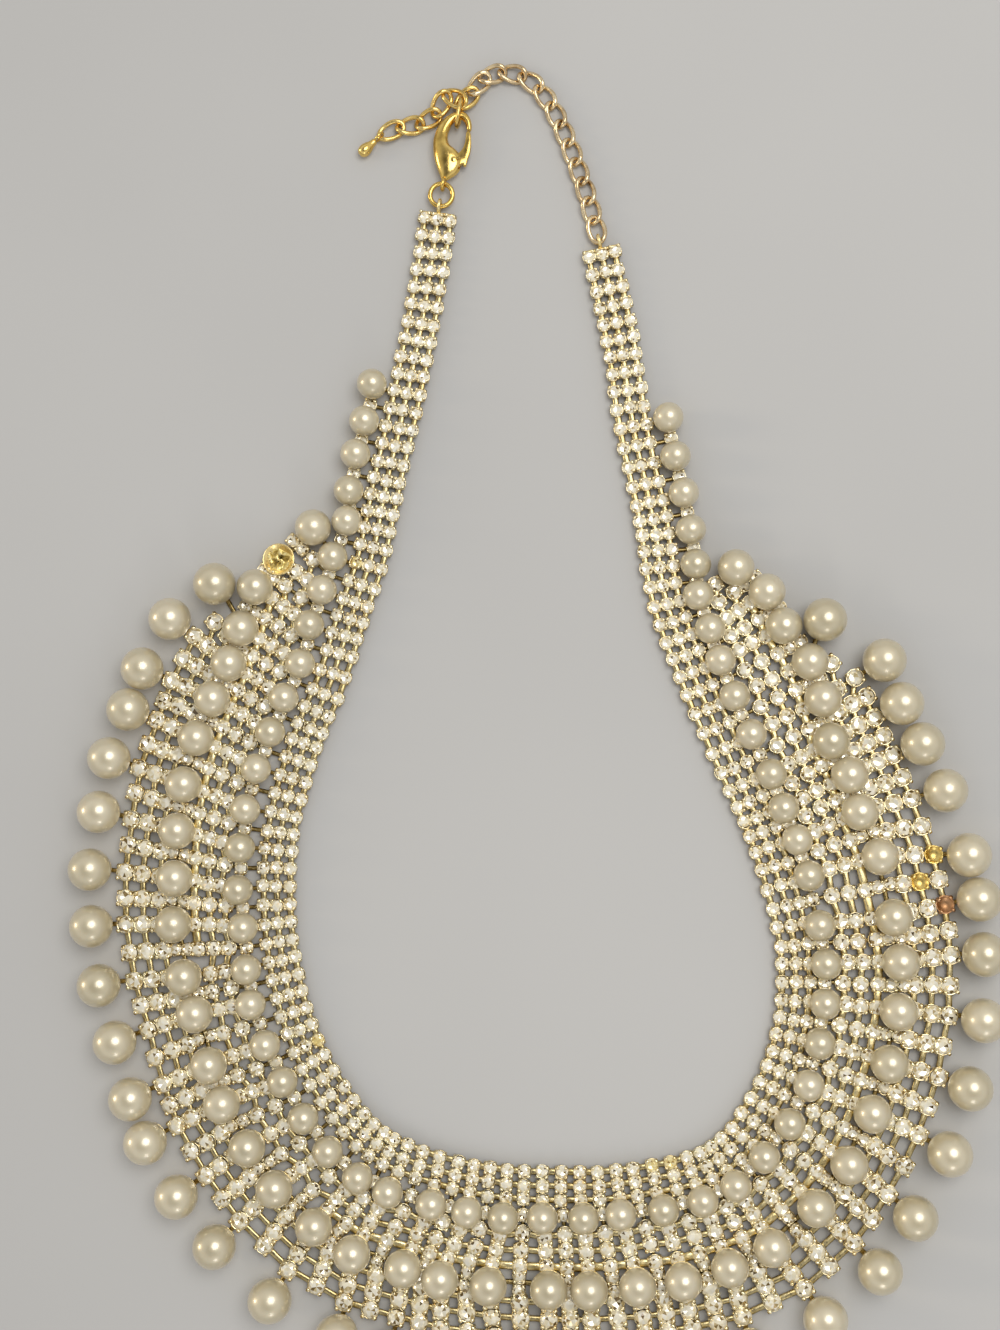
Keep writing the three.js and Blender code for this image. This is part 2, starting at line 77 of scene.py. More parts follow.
# x, y of every pearl place, tier by tier
CENTRES = [
    [
      [-37.46, 65.26], [-38.71, 59.07], [-40.14, 53.54], [-41.24, 47.44], [-41.54, 42.33], [-43.83, 36.37], [-45.59, 30.88],
      [-47.63, 25.07], [-49.11, 18.72], [-51.77, 13.06], [-53.97, 7.45], [-56.28, 1.42], [-57.99, -5.24], [-58.79, -11.53],
      [-59.08, -18.37], [-58.19, -24.52], [-57.56, -31.25], [-56.75, -36.88], [-54.31, -43.37], [-51.42, -49.17], [-47.96, -54.95],
      [-43.96, -60.16], [-39.07, -64.29], [-34.18, -66.46], [-27.19, -68.25], [-21.44, -69.35], [-15.64, -70.18], [-9.36, -70.09],
      [-2.81, -70.06], [3.1, -69.36], [9.9, -68.53], [16.09, -67.04], [21.33, -64.58], [25.85, -60.03], [29.9, -54.78],
      [32.96, -48.77], [34.78, -42.21], [35.73, -35.93], [35.95, -29.69], [35.04, -23.6], [33.42, -15.71], [31.65, -9.96],
      [29.54, -4.92], [27.64, 0.52], [24.53, 6.95], [21.93, 13.13], [19.68, 18.95], [18.09, 24.14], [16.2, 29.56],
      [15.85, 34.68], [15.11, 40.34], [14.01, 46.43], [12.7, 52.51], [11.58, 58.92],
    ],
    [
      [-47.03, 41.19], [-53.1, 36.16], [-56.65, 31.34], [-58.94, 24.52], [-60.9, 18.72], [-63.57, 12.89], [-66.21, 6.45],
      [-68.2, -1.19], [-69.18, -8.77], [-69.48, -16.51], [-69.57, -23.97], [-67.76, -32.5], [-65.85, -38.44], [-63.41, -46.62],
      [-61.2, -52.82], [-56.97, -59.66], [-52.48, -66.08], [-46.02, -71.93], [-39.82, -76.09], [-31.61, -78.2], [-25.7, -79.82],
      [-17.98, -80.67], [-8.35, -81.07], [-1.95, -81.06], [5.7, -80.38], [12.88, -79.38], [20.22, -77.15], [26.9, -73.88],
      [33.82, -67.65], [39.06, -60.93], [42.81, -52.95], [45.58, -45.16], [47.16, -37.03], [47.63, -29.31], [46.63, -22.21],
      [44.66, -12.59], [41.57, -5.54], [40.04, 0.39], [37.2, 5.81], [35.97, 12.6], [34.03, 18.6], [29.88, 24.45],
      [27.25, 29.97], [22.31, 33.95],
    ],
    [
      [-63.31, 31.87], [-70.7, 26.09], [-75.22, 17.91], [-77.49, 11.16], [-80.53, 3.15], [-82.12, -5.67], [-83.45, -15.1],
      [-83.04, -24.3], [-81.58, -33.87], [-78.78, -42.99], [-76.09, -52.02], [-73.5, -58.95], [-68.29, -67.42], [-61.98, -75.18],
      [-52.91, -83.45], [-42.08, -88.89], [-33.64, -91.22], [-25.66, -92.77], [-16.59, -93.62], [-8.55, -93.74], [-0.82, -93.56],
      [7.76, -92.82], [15.34, -91.59], [23.56, -89.75], [34.94, -84.62], [43.51, -77.1], [49.1, -68.82], [54.6, -58.91],
      [57.97, -48.77], [60.25, -38.2], [60.61, -27.89], [59.97, -19.27], [58.52, -12.3], [55.03, -2.1], [51.56, 5.32],
      [48.42, 11.78], [45.77, 18.73], [36.43, 25.32],
    ],
]
CENTRES = [np.array(c, float) for c in CENTRES]


def centre(n, k):
    """Centre of a place; between two places it is midway along the line that joins them."""
    i = k - TIER_SPAN[n][0]
    return (CENTRES[n][int(math.floor(i))] + CENTRES[n][int(math.ceil(i))]) / 2


class Column:
    def __init__(self, k):
        self.k = k
        self.p = np.array([station(k, 1), station(k, 2)])
        d = np.array([station(k + .02, 1) - station(k - .02, 1), station(k + .02, 2) - station(k - .02, 2)])
        self.along = d / np.hypot(*d)
        self.out = np.array([self.along[1], -self.along[0]])
        self.edge = station(k, 3)
        self.t1 = centre(0, k) if 0 <= k <= 53 else self.p
        self.fan = self.fan2 = self.out
        self.d12 = self.d23 = 0.0
        if 5 <= k <= 48:
            self.t2 = centre(1, k)
            self.d12 = float(np.hypot(*(self.t2 - self.t1)))
            self.fan = self.fan2 = (self.t2 - self.t1) / self.d12
        if 8 <= k <= 45:
            self.t3 = centre(2, k)
            self.d23 = float(np.hypot(*(self.t3 - self.t2)))
            self.fan2 = (self.t3 - self.t2) / self.d23


# ---------------------------------------------------------------- mesh building
class Shape:
    """Points, faces, smoothness, material number and a value per face, which sets a random tone on pearls and the
    painted glints and painted dark reflections on stone facets; millimetres.
    """

    def __init__(self):
        self.v, self.f, self.smooth, self.mat, self.tone_and_glint = [], [], [], [], []
        self.n = 0

    def add(self, verts, faces, smooth=True, mat=0, tone_and_glint=0.5):
        verts = np.asarray(verts, float).reshape(-1, 3)
        self.v.append(verts)
        for i, face in enumerate(faces):
            self.f.append([q + self.n for q in face])
            self.smooth.append(bool(smooth[i]) if isinstance(smooth, (list, np.ndarray)) else smooth)
            self.mat.append(mat)
            self.tone_and_glint.append(float(tone_and_glint[i]) if isinstance(tone_and_glint, (list, np.ndarray)) else tone_and_glint)
        self.n += len(verts)

    def frozen(self):
        v = np.concatenate(self.v)
        loops = np.array([q for f in self.f for q in f], np.int32)
        sizes = np.array([len(f) for f in self.f], np.int32)
        return (v, loops, sizes, np.array(self.smooth, bool), np.array(self.mat, np.int32),
                np.array(self.tone_and_glint, np.float32))


class Cloud:
    """Many copies of frozen shapes in one mesh."""

    def __init__(self):
        self.parts = []
        self.n = 0

    def put(self, shape, matrix=None, offset=(0, 0, 0), mat=None, tone_and_glint=None):
        v, loops, sizes, smooth, mats, tone_and_glint_values = shape
        if matrix is not None:
            v = v @ np.asarray(matrix).T
        v = v + np.asarray(offset, float)
        self.parts.append((v, loops + self.n, sizes, smooth,
                           mats if mat is None else np.full_like(mats, mat),
                           tone_and_glint_values if tone_and_glint is None else np.asarray(tone_and_glint, np.float32) * np.ones_like(tone_and_glint_values)))
        self.n += len(v)

    def mesh(self, name, materials, shift=True):
        v = np.concatenate([p[0] for p in self.parts])
        if shift:
            v = v + SHIFT
        loops = np.concatenate([p[1] for p in self.parts])
        sizes = np.concatenate([p[2] for p in self.parts])
        starts = np.concatenate([[0], np.cumsum(sizes)[:-1]]).astype(np.int32)
        me = bpy.data.meshes.new(name)
        me.vertices.add(len(v))
        me.vertices.foreach_set("co", (v * MM).astype(np.float32).ravel())
        me.loops.add(len(loops))
        me.loops.foreach_set("vertex_index", loops.astype(np.int32))
        me.polygons.add(len(sizes))
        me.polygons.foreach_set("loop_start", starts)
        me.update(calc_edges=True)
        me.polygons.foreach_set("use_smooth", np.concatenate([p[3] for p in self.parts]))
        me.polygons.foreach_set("material_index", np.concatenate([p[4] for p in self.parts]).astype(np.int32))
        attr = me.attributes.new("tone_and_glint", "FLOAT", "FACE")
        attr.data.foreach_set("value", np.concatenate([p[5] for p in self.parts]).astype(np.float32))
        for m in materials:
            me.materials.append(m)
        me.update()
        obj = bpy.data.objects.new(name, me)
        bpy.context.scene.collection.objects.link(obj)
        return obj


def lathe(profile, seg, phase=0.0):
    """Closed surface of revolution about z from (r, z) points that start and end at r = 0."""
    verts, rings = [], []
    for r, z in profile:
        if r <= 1e-9:
            rings.append([len(verts)])
            verts.append((0, 0, z))
        else:
            rings.append(list(range(len(verts), len(verts) + seg)))
            for i in range(seg):
                a = phase + 2 * math.pi * i / seg
                verts.append((r * math.cos(a), r * math.sin(a), z))
    faces = []
    for a, b in zip(rings[:-1], rings[1:]):
        for i in range(seg):
            j = (i + 1) % seg
            if len(a) == 1:
                faces.append([a[0], b[j], b[i]])
            elif len(b) == 1:
                faces.append([a[i], a[j], b[0]])
            else:
                faces.append([a[i], a[j], b[j], b[i]])
    return verts, faces


def sweep(path, radii, seg, closed=False, up=(0, 0, 1), flat=1.0, square=2.0):
    """Tube through the path; radii per point (side, upward) or one number, capped when open."""
    path = np.asarray(path, float)
    n = len(path)
    radii = np.broadcast_to(np.asarray(radii, float).reshape(-1, 1) if np.ndim(radii) == 1
                            else np.asarray(radii, float), (n, 2)) if np.ndim(radii) else np.full((n, 2), radii)
    up = np.asarray(up, float)
    verts, faces = [], []
    for i in range(n):
        if closed:
            t = path[(i + 1) % n] - path[i - 1]
        else:
            t = path[min(i + 1, n - 1)] - path[max(i - 1, 0)]
        t = t / np.linalg.norm(t)
        w = up - t * np.dot(up, t)
        w = w / np.linalg.norm(w)
        s = np.cross(t, w)
        for q in range(seg):
            a = 2 * math.pi * (q + 0.5) / seg
            ca, sa = math.cos(a), math.sin(a)
            if square != 2.0:
                g = (abs(ca) ** square + abs(sa) ** square) ** (-1 / square)
                ca, sa = ca * g, sa * g
            verts.append(path[i] + s * radii[i, 0] * ca + w * radii[i, 1] * sa * flat)
    rounds = n if closed else n - 1
    for i in range(rounds):
        j = (i + 1) % n
        for q in range(seg):
            r = (q + 1) % seg
            faces.append([i * seg + q, j * seg + q, j * seg + r, i * seg + r])
    if not closed:
        faces.append([q for q in range(seg)])
        faces.append([(n - 1) * seg + q for q in reversed(range(seg))])
    # faces point outwards for this winding of (s, w)
    faces = [list(reversed(f)) for f in faces]
    return verts, faces


def frame_xy(x_dir, tilt=(0.0, 0.0), turn=0.0, size=(1, 1, 1)):
    """Rotation whose local x is x_dir in the plane, with a small tilt (rad) about x and y."""
    a = math.atan2(x_dir[1], x_dir[0]) + turn
    rz = np.array([[math.cos(a), -math.sin(a), 0], [math.sin(a), math.cos(a), 0], [0, 0, 1]])
    tx, ty = tilt
    rx = np.array([[1, 0, 0], [0, math.cos(tx), -math.sin(tx)], [0, math.sin(tx), math.cos(tx)]])
    ry = np.array([[math.cos(ty), 0, math.sin(ty)], [0, 1, 0], [-math.sin(ty), 0, math.cos(ty)]])
    return rz @ ry @ rx @ np.diag(size)


# ---------------------------------------------------------------- materials
def new_material(name):
    m = bpy.data.materials.new(name)
    m.use_nodes = True
    nt = m.node_tree
    bsdf = nt.nodes["Principled BSDF"]
    return m, nt, bsdf


def ramp(nt, stops, source, interpolation="LINEAR"):
    r = nt.nodes.new("ShaderNodeValToRGB")
    r.color_ramp.interpolation = interpolation
    while len(r.color_ramp.elements) > 1:
        r.color_ramp.elements.remove(r.color_ramp.elements[0])
    r.color_ramp.elements[0].position = stops[0][0]
    r.color_ramp.elements[0].color = (*stops[0][1], 1)
    for at, c in stops[1:]:
        e = r.color_ramp.elements.new(at)
        e.color = (*c, 1)
    nt.links.new(source, r.inputs["Fac"])
    return r.outputs["Color"]


def noise(nt, scale, detail=4.0, rough=0.6, vector=None):
    n = nt.nodes.new("ShaderNodeTexNoise")
    n.inputs["Scale"].default_value = scale
    n.inputs["Detail"].default_value = detail
    n.inputs["Roughness"].default_value = rough
    if vector is None:
        tc = nt.nodes.new("ShaderNodeTexCoord")
        vector = tc.outputs["Object"]
    nt.links.new(vector, n.inputs["Vector"])
    return n.outputs["Fac"]


def mix_colour(nt, fac, a, b, blend="MIX"):
    m = nt.nodes.new("ShaderNodeMix")
    m.data_type = "RGBA"
    m.blend_type = blend
    for source, slot in ((fac, 0), (a, 6), (b, 7)):
        if hasattr(source, "is_linked") or hasattr(source, "links"):
            nt.links.new(source, m.inputs[slot])
        else:
            m.inputs[slot].default_value = source if slot == 0 else (*source, 1)
    return m.outputs[2]


def maths(nt, operation, a, b=None, clamp=False):
    m = nt.nodes.new("ShaderNodeMath")
    m.operation = operation
    m.use_clamp = clamp
    for source, slot in ((a, 0), (b, 1)):
        if source is None:
            continue
        if isinstance(source, (int, float)):
            m.inputs[slot].default_value = source
        else:
            nt.links.new(source, m.inputs[slot])
    return m.outputs[0]


def map_range(nt, value, lo, hi, to_lo, to_hi):
    m = nt.nodes.new("ShaderNodeMapRange")
    nt.links.new(value, m.inputs["Value"])
    m.inputs["From Min"].default_value = lo
    m.inputs["From Max"].default_value = hi
    m.inputs["To Min"].default_value = to_lo
    m.inputs["To Max"].default_value = to_hi
    return m.outputs["Result"]


def height(nt):
    tc = nt.nodes.new("ShaderNodeTexCoord")
    sep = nt.nodes.new("ShaderNodeSeparateXYZ")
    nt.links.new(tc.outputs["Object"], sep.inputs[0])
    return sep.outputs["Z"]


def read_tone_and_glint(nt):
    a = nt.nodes.new("ShaderNodeAttribute")
    a.attribute_name = "tone_and_glint"
    return a.outputs["Fac"]


def bump(nt, bsdf, source, strength, distance):
    b = nt.nodes.new("ShaderNodeBump")
    b.inputs["Strength"].default_value = strength
    b.inputs["Distance"].default_value = distance
    nt.links.new(source, b.inputs["Height"])
    nt.links.new(b.outputs["Normal"], bsdf.inputs["Normal"])


def cup_metal(name, bright, mid, painted_shade, rough=(0.16, 0.34), low=0.45, high=1.35):
    """Plated cups and bars, blotched all over; painted shade darkens the low parts, and the raised parts keep the
    bright plating colour as if lit.
    """
    m, nt, bsdf = new_material(name)
    blotch = noise(nt, 260, 5, 0.65)
    fine = noise(nt, 1900, 3, 0.6)
    base = ramp(nt, [(0.30, mid), (0.52, bright), (0.8, tuple(min(1, c * 1.06) for c in bright))], blotch)
    # painted shade: from low to high (mm above the floor) the colour runs from the dark shade colour up to the plating
    # colour, with a speckled edge
    z = map_range(nt, height(nt), low * MM, high * MM, 0.0, 1.0)
    lit_share = maths(nt, "ADD", z, maths(nt, "MULTIPLY", maths(nt, "SUBTRACT", fine, 0.5), 0.7), clamp=True)
    painted_shade_colour = ramp(nt, [(0.0, painted_shade), (1.0, tuple(c * 0.75 for c in mid))], fine)
    colour = mix_colour(nt, lit_share, painted_shade_colour, base)
    nt.links.new(colour, bsdf.inputs["Base Color"])
    bsdf.inputs["Metallic"].default_value = 1.0
    nt.links.new(map_range(nt, fine, 0.3, 0.7, *rough), bsdf.inputs["Roughness"])
    bump(nt, bsdf, fine, 0.25, 0.00006)
    return m


def crystal(name, stops, metallic=0.3):
    # painted glints and painted dark reflections: each facet's random value picks a colour from dark gold-brown to
    # cream white, standing in for the reflections that sparkle in foil-backed stones
    m, nt, bsdf = new_material(name)
    tone_and_glint = read_tone_and_glint(nt)
    cloud = noise(nt, 420, 3, 0.6)
    value = maths(nt, "ADD", tone_and_glint, maths(nt, "MULTIPLY", maths(nt, "SUBTRACT", cloud, 0.5), 0.18), clamp=True)
    nt.links.new(ramp(nt, stops, value), bsdf.inputs["Base Color"])
    bsdf.inputs["Metallic"].default_value = metallic
    nt.links.new(map_range(nt, cloud, 0.3, 0.7, 0.05, 0.13), bsdf.inputs["Roughness"])
    bsdf.inputs["Coat Weight"].default_value = 1.0
    bsdf.inputs["Coat Roughness"].default_value = 0.02
    bsdf.inputs["Coat IOR"].default_value = 1.6
    return m


def pearl_material(name, light, mid, shade):
    """Satin nacre: soft tone drifts, a satin reflection under a clear coat."""
    m, nt, bsdf = new_material(name)
    tone_and_glint = read_tone_and_glint(nt)
    cloud = noise(nt, 110, 2, 0.45)
    fine = noise(nt, 900, 2, 0.5)
    value = maths(nt, "ADD", maths(nt, "MULTIPLY", tone_and_glint, 0.4),
                  maths(nt, "MULTIPLY", cloud, 0.6), clamp=True)
    nt.links.new(ramp(nt, [(0.22, shade), (0.5, mid), (0.78, light)], value), bsdf.inputs["Base Color"])
    nt.links.new(map_range(nt, cloud, 0.3, 0.7, 0.33, 0.41), bsdf.inputs["Roughness"])
    bsdf.inputs["Metallic"].default_value = 0.38
    bsdf.inputs["IOR"].default_value = 1.62
    bsdf.inputs["Specular IOR Level"].default_value = 0.7
    bsdf.inputs["Subsurface Weight"].default_value = 0.25
    bsdf.inputs["Subsurface Radius"].default_value = (0.0012, 0.0009, 0.0006)
    bsdf.inputs["Subsurface Scale"].default_value = 1.0
    bsdf.inputs["Coat Weight"].default_value = 1.0
    bsdf.inputs["Coat IOR"].default_value = 1.75
    bsdf.inputs["Coat Roughness"].default_value = 0.17
    bsdf.inputs["Sheen Weight"].default_value = 0.16
    bsdf.inputs["Sheen Roughness"].default_value = 0.35
    bsdf.inputs["Sheen Tint"].default_value = (1.0, 0.80, 0.46, 1)
    bump(nt, bsdf, fine, 0.03, 0.00003)
    return m


def polished_gold(name, bright, mid, deep, rough=(0.12, 0.24), scale=330):
    m, nt, bsdf = new_material(name)
    blotch = noise(nt, scale, 5, 0.6)
    fine = noise(nt, 2600, 3, 0.55)
    nt.links.new(ramp(nt, [(0.28, deep), (0.48, mid), (0.66, bright)], blotch), bsdf.inputs["Base Color"])
    bsdf.inputs["Metallic"].default_value = 1.0
    nt.links.new(map_range(nt, maths(nt, "ADD", maths(nt, "MULTIPLY", blotch, 0.5),
                                     maths(nt, "MULTIPLY", fine, 0.5)), 0.35, 0.65, *rough),
                 bsdf.inputs["Roughness"])
    bump(nt, bsdf, fine, 0.16, 0.00005)
    return m


# the third colour of each plating is its painted shade colour, laid on its low parts
CUP = cup_metal("pale_gold_plating", (1.0, 0.88, 0.58), (0.88, 0.68, 0.33), (0.11, 0.06, 0.015), low=0.5, high=1.45)
# the bars lie low, so the cross wires take mostly painted shade and darken the gaps between the cups
BAR = cup_metal("bar_gold_plating", (0.84, 0.71, 0.39), (0.64, 0.49, 0.20), (0.09, 0.055, 0.014),
                rough=(0.22, 0.4), low=0.72, high=1.42)
BOWL = cup_metal("bowl_gold_plating", (0.98, 0.80, 0.40), (0.82, 0.60, 0.22), (0.16, 0.09, 0.02),
                 rough=(0.2, 0.4), low=0.0, high=1.2)
COPPER = cup_metal("bare_copper", (0.62, 0.36, 0.19), (0.40, 0.20, 0.09), (0.12, 0.06, 0.02),
                   rough=(0.3, 0.5), low=0.0, high=1.3)
DEEP_CUP = cup_metal("deep_gold_plating", (0.98, 0.74, 0.26), (0.72, 0.48, 0.12), (0.16, 0.09, 0.02),
                     rough=(0.2, 0.4), low=0.3, high=1.5)
# facet colours from dark brown to cream white: painted dark reflections and painted glints
CRYSTAL = crystal("clear_crystal", [(0.0, (0.09, 0.052, 0.012)), (0.12, (0.34, 0.23, 0.08)),
                                    (0.28, (0.74, 0.60, 0.32)), (0.45, (0.95, 0.85, 0.60)),
                                    (0.68, (1.0, 0.935, 0.74)), (1.0, (1.0, 0.965, 0.85))])
AMBER = crystal("yellowed_crystal", [(0.0, (0.20, 0.10, 0.02)), (0.3, (0.62, 0.40, 0.10)),
                                     (0.6, (0.90, 0.72, 0.28)), (1.0, (1.0, 0.90, 0.55))])
PEARL = pearl_material("pearl_nacre", (0.68, 0.605, 0.435), (0.63, 0.555, 0.385), (0.56, 0.49, 0.325))
CLASP_GOLD = polished_gold("clasp_gold", (0.95, 0.69, 0.24), (0.80, 0.55, 0.15), (0.50, 0.31, 0.07))
CHAIN_GOLD = polished_gold("chain_gold", (0.93, 0.78, 0.51), (0.78, 0.61, 0.37), (0.44, 0.30, 0.155),
                           rough=(0.17, 0.32))
TAIL_GOLD = polished_gold("tail_gold", (0.93, 0.70, 0.28), (0.80, 0.56, 0.18), (0.50, 0.31, 0.08),
                          rough=(0.17, 0.32))


def glue_material():
    m, nt, bsdf = new_material("old_glue")
    cloud = noise(nt, 1100, 3, 0.6)
    nt.links.new(ramp(nt, [(0.34, (0.30, 0.20, 0.035)), (0.50, (0.74, 0.56, 0.16)), (0.66, (0.93, 0.84, 0.45))], cloud),
                 bsdf.inputs["Base Color"])
    nt.links.new(map_range(nt, cloud, 0.3, 0.7, 0.10, 0.26), bsdf.inputs["Roughness"])
    bsdf.inputs["Metallic"].default_value = 0.45
    bsdf.inputs["Coat Weight"].default_value = 1.0
    bsdf.inputs["Coat Roughness"].default_value = 0.06
    bump(nt, bsdf, cloud, 0.7, 0.0003)
    return m


GLUE = glue_material()

# ---------------------------------------------------------------- cup, prongs and stone
def cup_shape(R, h):
    """One soldered cup with four bead-tipped prongs; R outer radius, h height scale."""
    s = Shape()
    profile = [(0, .10 * h), (.60 * R, .10 * h), (.90 * R, .42 * h), (.97 * R, .78 * h), (1.0 * R, 1.10 * h),
               (.92 * R, 1.17 * h), (.85 * R, 1.02 * h), (0, .62 * h)]
    v, f = lathe(profile, 14)
    s.add(v, f, smooth=[True] * len(f))
    for i in range(4):
        a = math.radians(45 + 90 * i)
        ca, sa = math.cos(a), math.sin(a)
        path = [(.97 * R, .62 * h), (1.03 * R, 1.15 * h), (.99 * R, 1.50 * h), (.86 * R, 1.72 * h),
                (.74 * R, 1.78 * h)]
        rad = [.18, .23, .27, .28, .17]
        pts = [(r * ca, r * sa, z) for r, z in path]
        radii = [(w * (R / 1.08) ** .6, w * (R / 1.08) ** .6 * .86) for w in rad]
        v, f = sweep(pts, radii, 6, up=(-ca * .5, -sa * .5, 1))
        s.add(v, f, smooth=True)
    return s.frozen()


def stone_shape(R, h):
    """Brilliant-cut stone set in a cup: dished table, stars, kites, girdle facets, closed below."""
    s = Shape()
    g, z_g, z_t = .90 * R, 1.15 * h, 1.53 * h
    table = [(.50 * R * math.cos(math.radians(45 * i)), .50 * R * math.sin(math.radians(45 * i)), z_t) for i in range(8)]
    mid = [(.72 * R * math.cos(math.radians(45 * i + 22.5)), .72 * R * math.sin(math.radians(45 * i + 22.5)),
            z_g + .62 * (z_t - z_g)) for i in range(8)]
    girdle = [(g * math.cos(math.radians(22.5 * i)), g * math.sin(math.radians(22.5 * i)), z_g) for i in range(16)]
    verts = table + mid + girdle + [(0, 0, z_t - .10 * h), (0, 0, .66 * h)]
    T, M, G, C, P = 0, 8, 16, 32, 33
    faces = []
    for i in range(8):
        j = (i + 1) % 8
        faces.append([T + i, T + j, C])
        faces.append([T + j, T + i, M + i])
        faces.append([T + i, M + (i - 1) % 8, G + 2 * i, M + i])
        faces.append([M + i, G + 2 * i, G + 2 * i + 1])
        faces.append([M + i, G + 2 * i + 1, G + (2 * i + 2) % 16])
    for i in range(16):
        faces.append([G + (i + 1) % 16, G + i, P])
    s.add(verts, faces, smooth=False)
    return s.frozen()


SMALL, MEDIUM, LARGE = (1.15, 1.06), (1.35, 1.16), (1.53, 1.30)
CUPS = {q: cup_shape(*q) for q in (SMALL, MEDIUM, LARGE)}
STONES = {q: stone_shape(*q) for q in (SMALL, MEDIUM, LARGE)}

metal = {"inner": Cloud(), "middle": Cloud(), "outer": Cloud()}
stones = {"inner": Cloud(), "middle": Cloud(), "outer": Cloud()}
yellowed, bars, bowls = [], Cloud(), Cloud()
centres = {}                     # (row name, column number) -> centre and size


def set_cup(zone, row, c, at, direction, size, lit_zone_bias=0.0, state="stone"):
    """One cup and its stone. state: stone, yellow, gold (empty) or copper (empty, bare)."""
    jitter = rng.normal(0, .05, 2)
    turn = math.radians(rng.normal(0, 2.5))
    tilt = np.radians(rng.normal(0, 1.6, 2))
    here = np.array([at[0] + jitter[0], at[1] + jitter[1], 0.0])
    m = frame_xy(direction, tilt, turn)
    metal[zone].put(CUPS[size], m, here, mat={"copper": 1, "gold": 2}.get(state, 0),
                    tone_and_glint=rng.uniform(0, 1))
    centres[(row, c)] = (here[:2], size)
    if state in ("gold", "copper"):
        rng.uniform(0, 1, 60)
        return
    shape = STONES[size]
    # painted reflections: each facet gets a random value; up to about a fifth of the facets become painted dark
    # reflections and the rest painted glints, with fewer dark ones in the inner and middle zones, which are painted as
    # better lit
    facets = rng.uniform(0, 1, len(shape[2]))
    painted_dark_facets = rng.uniform(0, 1, len(shape[2])) < .19 - lit_zone_bias
    tone_and_glint_values = np.where(painted_dark_facets, facets * .34, .42 + .58 * facets ** .8)
    spin = math.radians(rng.uniform(0, 45))
    lean = np.radians(rng.normal(0, 3.4, 2))
    s = frame_xy(direction, tilt + lean, turn + spin)
    stones[zone].put(shape, s, here, mat=1 if state == "yellow" else 0, tone_and_glint=tone_and_glint_values)


YELLOW = {("A3", 20), ("A1", 47), ("A1", 70), ("A1", 71)}
for c in range(127):
    k = -5 + c / 2
    col = Column(k)
    even = c % 2 == 0
    whole = int(round(k)) if even else None
    edge = col.p - col.out * col.edge
    for i, reach in enumerate((1.1, 3.3, 5.5)):
        row = f"A{i + 1}"
        set_cup("inner", row, c, edge + col.out * reach, col.along, SMALL, .10,
                "yellow" if (row, c) in YELLOW else "stone")
    in1 = 0 <= k <= 53
    in2 = 5 <= k <= 48
    in3 = 8 <= k <= 45
    if in1 and not even:
        set_cup("middle", "P1", c, col.t1, col.along, SMALL, .06)
    if in2:
        d = col.d12
        if even:
            n = 3 if d >= 10.3 else 2 if d >= 8.9 else 1 if d >= 7.5 else 0
            share = {3: (.31, .52, .735), 2: (.37, .62), 1: (.47,), 0: ()}[n]
        else:
            n = 3 if d >= 10.3 else 2 if d >= 8.4 else 1
            share = {3: (.26, .505, .74), 2: (.33, .66), 1: (.5,)}[n]
        for i, q in enumerate(share):
            row = f"B{i + 1}"
            set_cup("middle", row, c, col.t1 + col.fan * d * q, [-col.fan[1], col.fan[0]], MEDIUM, .06,
                    "yellow" if (row, c) in YELLOW else "stone")
        if not even:
            for i, q in enumerate((-1.1, 1.1)):
                set_cup("outer", f"Q{i + 1}", c, col.t2 + col.fan * q, [-col.fan[1], col.fan[0]], SMALL, 0)
    if in3:
        d = col.d23
        n = 3 if d >= 11.6 else 2 if d >= 10.0 else 1
        if even and d < 8.9:
            n = 0
        share = {3: (.215, .42, .635), 2: (.26, .56), 1: (.42,), 0: ()}[n]
        for i, q in enumerate(share):
            row = f"C{i + 1}"
            state = "stone"
            if (row, c) == ("C3", 90) or (row, c) == ("C2", 89):
                state = "gold"
            elif (row, c) == ("C3", 88):
                state = "copper"
            elif (row, c) in YELLOW:
                state = "yellow"
            set_cup("outer", row, c, col.t2 + col.fan2 * d * q, [-col.fan2[1], col.fan2[0]], LARGE, 0, state)

# ---------------------------------------------------------------- bars
def bar(a, b, width, z, thick):
    """A flat-topped link bar from a to b (2-D, mm)."""
    a, b = np.asarray(a, float), np.asarray(b, float)
    d = b - a
    length = np.hypot(*d)
    if length < 0.3:
        return
    t = np.array([0, .12, .5, .88, 1.0])
    pts = [(a[0] + d[0] * q, a[1] + d[1] * q, z) for q in t]
    w = width / 2 * rng.uniform(.92, 1.06)
    rad = [(w * .82, thick / 2 * .9), (w, thick / 2), (w * .95, thick / 2), (w, thick / 2), (w * .82, thick / 2 * .9)]
    s = Shape()
    v, f = sweep(pts, rad, 8, square=4.0)
    s.add(v, f, smooth=[True] * (len(f) - 2) + [False] * 2)
    bars.put(s.frozen(), tone_and_glint=rng.uniform(0, 1))


ROW_BAR = {"A1": (1.05, .84), "A2": (1.05, .84), "A3": (1.05, .84), "B1": (1.1, .86), "B2": (1.1, .86),
           "B3": (1.35, 1.08), "C1": (1.0, .74), "C2": (1.0, .74), "C3": (1.0, .74)}
for row, (width, z) in ROW_BAR.items():
    for c in range(126):
        a, b = centres.get((row, c)), centres.get((row, c + 1))
        if a is None or b is None:
            continue
        d = b[0] - a[0]
        length = np.hypot(*d)
        if length > 6.5:
            continue
        d /= length
        bar(a[0] + d * a[1][0] * .8, b[0] - d * b[1][0] * .8, width, z * a[1][1], .42)

